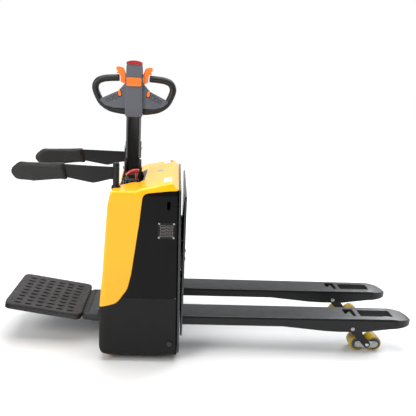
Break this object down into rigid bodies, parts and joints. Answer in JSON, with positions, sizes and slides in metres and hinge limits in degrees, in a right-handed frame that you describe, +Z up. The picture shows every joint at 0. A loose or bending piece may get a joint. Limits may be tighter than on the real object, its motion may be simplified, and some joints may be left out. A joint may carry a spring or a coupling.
{
  "type": "electric pallet truck",
  "caption": "Ride-on electric pallet truck with lifting forks on tandem rollers, a tilting tiller, a fold-up rider platform and folding side arms.",
  "frame": {"origin": "middle of the footprint's box, on the floor", "axes": "+X towards the fork tips, +Y to the truck's left seen by a rider facing the forks, +Z up"},
  "size_m": [2.0323, 0.784, 1.38],
  "materials": {
    "painted_frame": "satin black powder coat",
    "painted_fork": "satin charcoal paint",
    "yellow_hood": "gloss yellow",
    "black_cover": "fine-grained satin black",
    "black_trim": "matt black",
    "tiller_black": "black anodised and satin",
    "head_grey": "fine-grained mid grey",
    "control_orange": "smooth orange",
    "control_red": "smooth red",
    "grip_rubber": "ribbed matt black",
    "pad_foam": "grained integral-skin foam",
    "platform_rubber": "studded dark grey rubber",
    "drive_tyre": "worn black tread",
    "roller_polyurethane": "translucent yellow polyurethane",
    "caster_polyurethane": "amber polyurethane",
    "bright_steel": "zinc plated",
    "drive_casting": "grey casting",
    "motor_paint": "satin black",
    "controller_metal": "finned extrusion",
    "battery_case": "matt blue-black case"
  },
  "bodies": {
    "chassis": {"chassis_frame": "painted_frame", "front_plate": "painted_frame", "platform_bracket": "painted_frame", "hood_cover": "yellow_hood", "lower_skirt": "black_cover", "side_panel_right": "black_cover", "side_panel_left": "black_cover", "tiller_well": "black_trim", "battery": "battery_case", "motor_controller": "controller_metal", "pump_unit": "motor_paint", "lift_cylinder": "painted_frame", "steering_bearing": "bright_steel", "arm_post_right": "painted_frame", "arm_post_left": "painted_frame", "switch_console": "black_trim"},
    "lift": {"carriage_plate": "painted_frame", "lift_rod": "bright_steel", "fork_right": "painted_fork", "fork_left": "painted_fork", "load_arm_pin_right": "bright_steel", "load_arm_pin_left": "bright_steel"},
    "steer": {"drive_gearbox": "drive_casting", "drive_motor": "motor_paint", "steering_tube": "painted_frame", "tiller_base": "black_trim", "tilt_pin": "bright_steel"},
    "drive_wheel": {"drive_wheel": "drive_tyre"},
    "tiller": {"tiller_column": "tiller_black", "tiller_head": "head_grey", "grip_rear": "grip_rubber", "grip_front": "grip_rubber"},
    "horn_button": {"horn_button": "control_orange"},
    "belly_button": {"belly_button": "control_red"},
    "thumb_lever_rear": {"thumb_lever_rear": "control_orange"},
    "thumb_lever_front": {"thumb_lever_front": "control_orange"},
    "rocker_rear": {"rocker_rear": "control_orange"},
    "rocker_front": {"rocker_front": "control_orange"},
    "ignition_key": {"ignition_key": "bright_steel"},
    "emergency_handle": {"emergency_handle": "control_red"},
    "platform": {"platform": "painted_frame", "platform_mat": "platform_rubber"},
    "push_rod_right": {"push_rod_right": "bright_steel"},
    "load_arm_right": {"load_arm_right": "painted_frame"},
    "bogie_right": {"bogie_right": "bright_steel"},
    "caster_fork_right": {"caster_fork_right": "bright_steel"},
    "caster_wheel_right": {"caster_wheel_right": "caster_polyurethane"},
    "side_arm_right": {"side_arm_right": "painted_frame", "arm_pad_right": "pad_foam"},
    "load_roller_right_rear": {"load_roller_right_rear": "roller_polyurethane"},
    "load_roller_right_front": {"load_roller_right_front": "roller_polyurethane"},
    "push_rod_left": {"push_rod_left": "bright_steel"},
    "load_arm_left": {"load_arm_left": "painted_frame"},
    "bogie_left": {"bogie_left": "bright_steel"},
    "caster_fork_left": {"caster_fork_left": "bright_steel"},
    "caster_wheel_left": {"caster_wheel_left": "caster_polyurethane"},
    "side_arm_left": {"side_arm_left": "painted_frame", "arm_pad_left": "pad_foam"},
    "load_roller_left_rear": {"load_roller_left_rear": "roller_polyurethane"},
    "load_roller_left_front": {"load_roller_left_front": "roller_polyurethane"}
  },
  "joints": [
    {"name": "lift", "type": "slide", "parent": "chassis", "child": "lift", "axis": [0, 0, 1], "range_m": [-0.101, 0.014]},
    {"name": "push_rod_right_slide", "type": "slide", "parent": "lift", "child": "push_rod_right", "axis": [1, 0, 0], "range_m": [-0.03, 0.006]},
    {"name": "load_arm_right_swing", "type": "hinge", "parent": "lift", "child": "load_arm_right", "pos_m": [0.701, -0.19, 0.136], "axis": [0, 1, 0], "range_deg": [-52, 9]},
    {"name": "bogie_right_rock", "type": "hinge", "parent": "load_arm_right", "child": "bogie_right", "pos_m": [0.791, -0.19, 0.041], "axis": [0, 1, 0], "range_deg": [-9, 52]},
    {"name": "load_roller_right_rear_spin", "type": "hinge", "parent": "bogie_right", "child": "load_roller_right_rear", "pos_m": [0.748, -0.19, 0.037], "axis": [0, 1, 0], "continuous": true},
    {"name": "load_roller_right_front_spin", "type": "hinge", "parent": "bogie_right", "child": "load_roller_right_front", "pos_m": [0.834, -0.19, 0.037], "axis": [0, 1, 0], "continuous": true},
    {"name": "push_rod_left_slide", "type": "slide", "parent": "lift", "child": "push_rod_left", "axis": [1, 0, 0], "range_m": [-0.03, 0.006]},
    {"name": "load_arm_left_swing", "type": "hinge", "parent": "lift", "child": "load_arm_left", "pos_m": [0.701, 0.19, 0.136], "axis": [0, 1, 0], "range_deg": [-52, 9]},
    {"name": "bogie_left_rock", "type": "hinge", "parent": "load_arm_left", "child": "bogie_left", "pos_m": [0.791, 0.19, 0.041], "axis": [0, 1, 0], "range_deg": [-9, 52]},
    {"name": "load_roller_left_rear_spin", "type": "hinge", "parent": "bogie_left", "child": "load_roller_left_rear", "pos_m": [0.748, 0.19, 0.037], "axis": [0, 1, 0], "continuous": true},
    {"name": "load_roller_left_front_spin", "type": "hinge", "parent": "bogie_left", "child": "load_roller_left_front", "pos_m": [0.834, 0.19, 0.037], "axis": [0, 1, 0], "continuous": true},
    {"name": "steer", "type": "hinge", "parent": "chassis", "child": "steer", "pos_m": [-0.414, 0, 0.25], "axis": [0, 0, 1], "range_deg": [0, 180]},
    {"name": "drive_wheel_spin", "type": "hinge", "parent": "steer", "child": "drive_wheel", "pos_m": [-0.414, 0, 0.105], "axis": [1, 0, 0], "continuous": true},
    {"name": "tiller_tilt", "type": "hinge", "parent": "steer", "child": "tiller", "pos_m": [-0.414, 0, 0.86], "axis": [-1, 0, 0], "range_deg": [0, 65], "stiffness_Nm_per_rad": 25, "springref_deg": -28.65},
    {"name": "horn_press", "type": "slide", "parent": "tiller", "child": "horn_button", "axis": [0, 1, 0], "range_m": [0, 0.0025], "stiffness_N_per_m": 400},
    {"name": "belly_press", "type": "slide", "parent": "tiller", "child": "belly_button", "axis": [0, 0, -1], "range_m": [0, 0.006], "stiffness_N_per_m": 400, "springref_m": -0.004},
    {"name": "thumb_lever_rear_turn", "type": "hinge", "parent": "tiller", "child": "thumb_lever_rear", "pos_m": [-0.414, -0.002, 1.312], "axis": [1, 0, 0], "range_deg": [-25, 25], "stiffness_Nm_per_rad": 0.6},
    {"name": "thumb_lever_front_turn", "type": "hinge", "parent": "tiller", "child": "thumb_lever_front", "pos_m": [-0.414, -0.002, 1.312], "axis": [1, 0, 0], "range_deg": [-25, 25], "stiffness_Nm_per_rad": 0.6},
    {"name": "rocker_rear_press", "type": "slide", "parent": "tiller", "child": "rocker_rear", "axis": [0, 1, 0], "range_m": [0, 0.0025], "stiffness_N_per_m": 300},
    {"name": "rocker_front_press", "type": "slide", "parent": "tiller", "child": "rocker_front", "axis": [0, 1, 0], "range_m": [0, 0.0025], "stiffness_N_per_m": 300},
    {"name": "key_turn", "type": "hinge", "parent": "chassis", "child": "ignition_key", "pos_m": [-0.438, -0.09, 0.8], "axis": [0, 0, 1], "range_deg": [0, 90]},
    {"name": "emergency_push", "type": "slide", "parent": "chassis", "child": "emergency_handle", "axis": [0, 0, 1], "range_m": [-0.012, 0]},
    {"name": "caster_right_swivel", "type": "hinge", "parent": "chassis", "child": "caster_fork_right", "pos_m": [-0.464, -0.308, 0.14], "axis": [0, 0, 1], "continuous": true},
    {"name": "caster_right_spin", "type": "hinge", "parent": "caster_fork_right", "child": "caster_wheel_right", "pos_m": [-0.486, -0.308, 0.04], "axis": [0, 1, 0], "continuous": true},
    {"name": "caster_left_swivel", "type": "hinge", "parent": "chassis", "child": "caster_fork_left", "pos_m": [-0.464, 0.308, 0.14], "axis": [0, 0, 1], "continuous": true},
    {"name": "caster_left_spin", "type": "hinge", "parent": "caster_fork_left", "child": "caster_wheel_left", "pos_m": [-0.486, 0.308, 0.04], "axis": [0, 1, 0], "continuous": true},
    {"name": "platform_fold", "type": "hinge", "parent": "chassis", "child": "platform", "pos_m": [-0.624, 0, 0.128], "axis": [0, 1, 0], "range_deg": [-9, 80]},
    {"name": "side_arm_right_fold", "type": "hinge", "parent": "chassis", "child": "side_arm_right", "pos_m": [-0.469, -0.289, 0.878], "axis": [0, 0, -1], "range_deg": [0, 28]},
    {"name": "side_arm_left_fold", "type": "hinge", "parent": "chassis", "child": "side_arm_left", "pos_m": [-0.469, 0.289, 0.878], "axis": [0, 0, 1], "range_deg": [0, 78]}
  ],
  "couplings": [
    {"joint": "push_rod_right_slide", "follows": "lift", "ratio": 0.25},
    {"joint": "load_arm_right_swing", "follows": "lift", "rad_per_m": 8.49},
    {"joint": "bogie_right_rock", "follows": "lift", "rad_per_m": -8.49},
    {"joint": "push_rod_left_slide", "follows": "lift", "ratio": 0.25},
    {"joint": "load_arm_left_swing", "follows": "lift", "rad_per_m": 8.49},
    {"joint": "bogie_left_rock", "follows": "lift", "rad_per_m": -8.49},
    {"joint": "thumb_lever_front_turn", "follows": "thumb_lever_rear_turn", "ratio": 1}
  ]
}
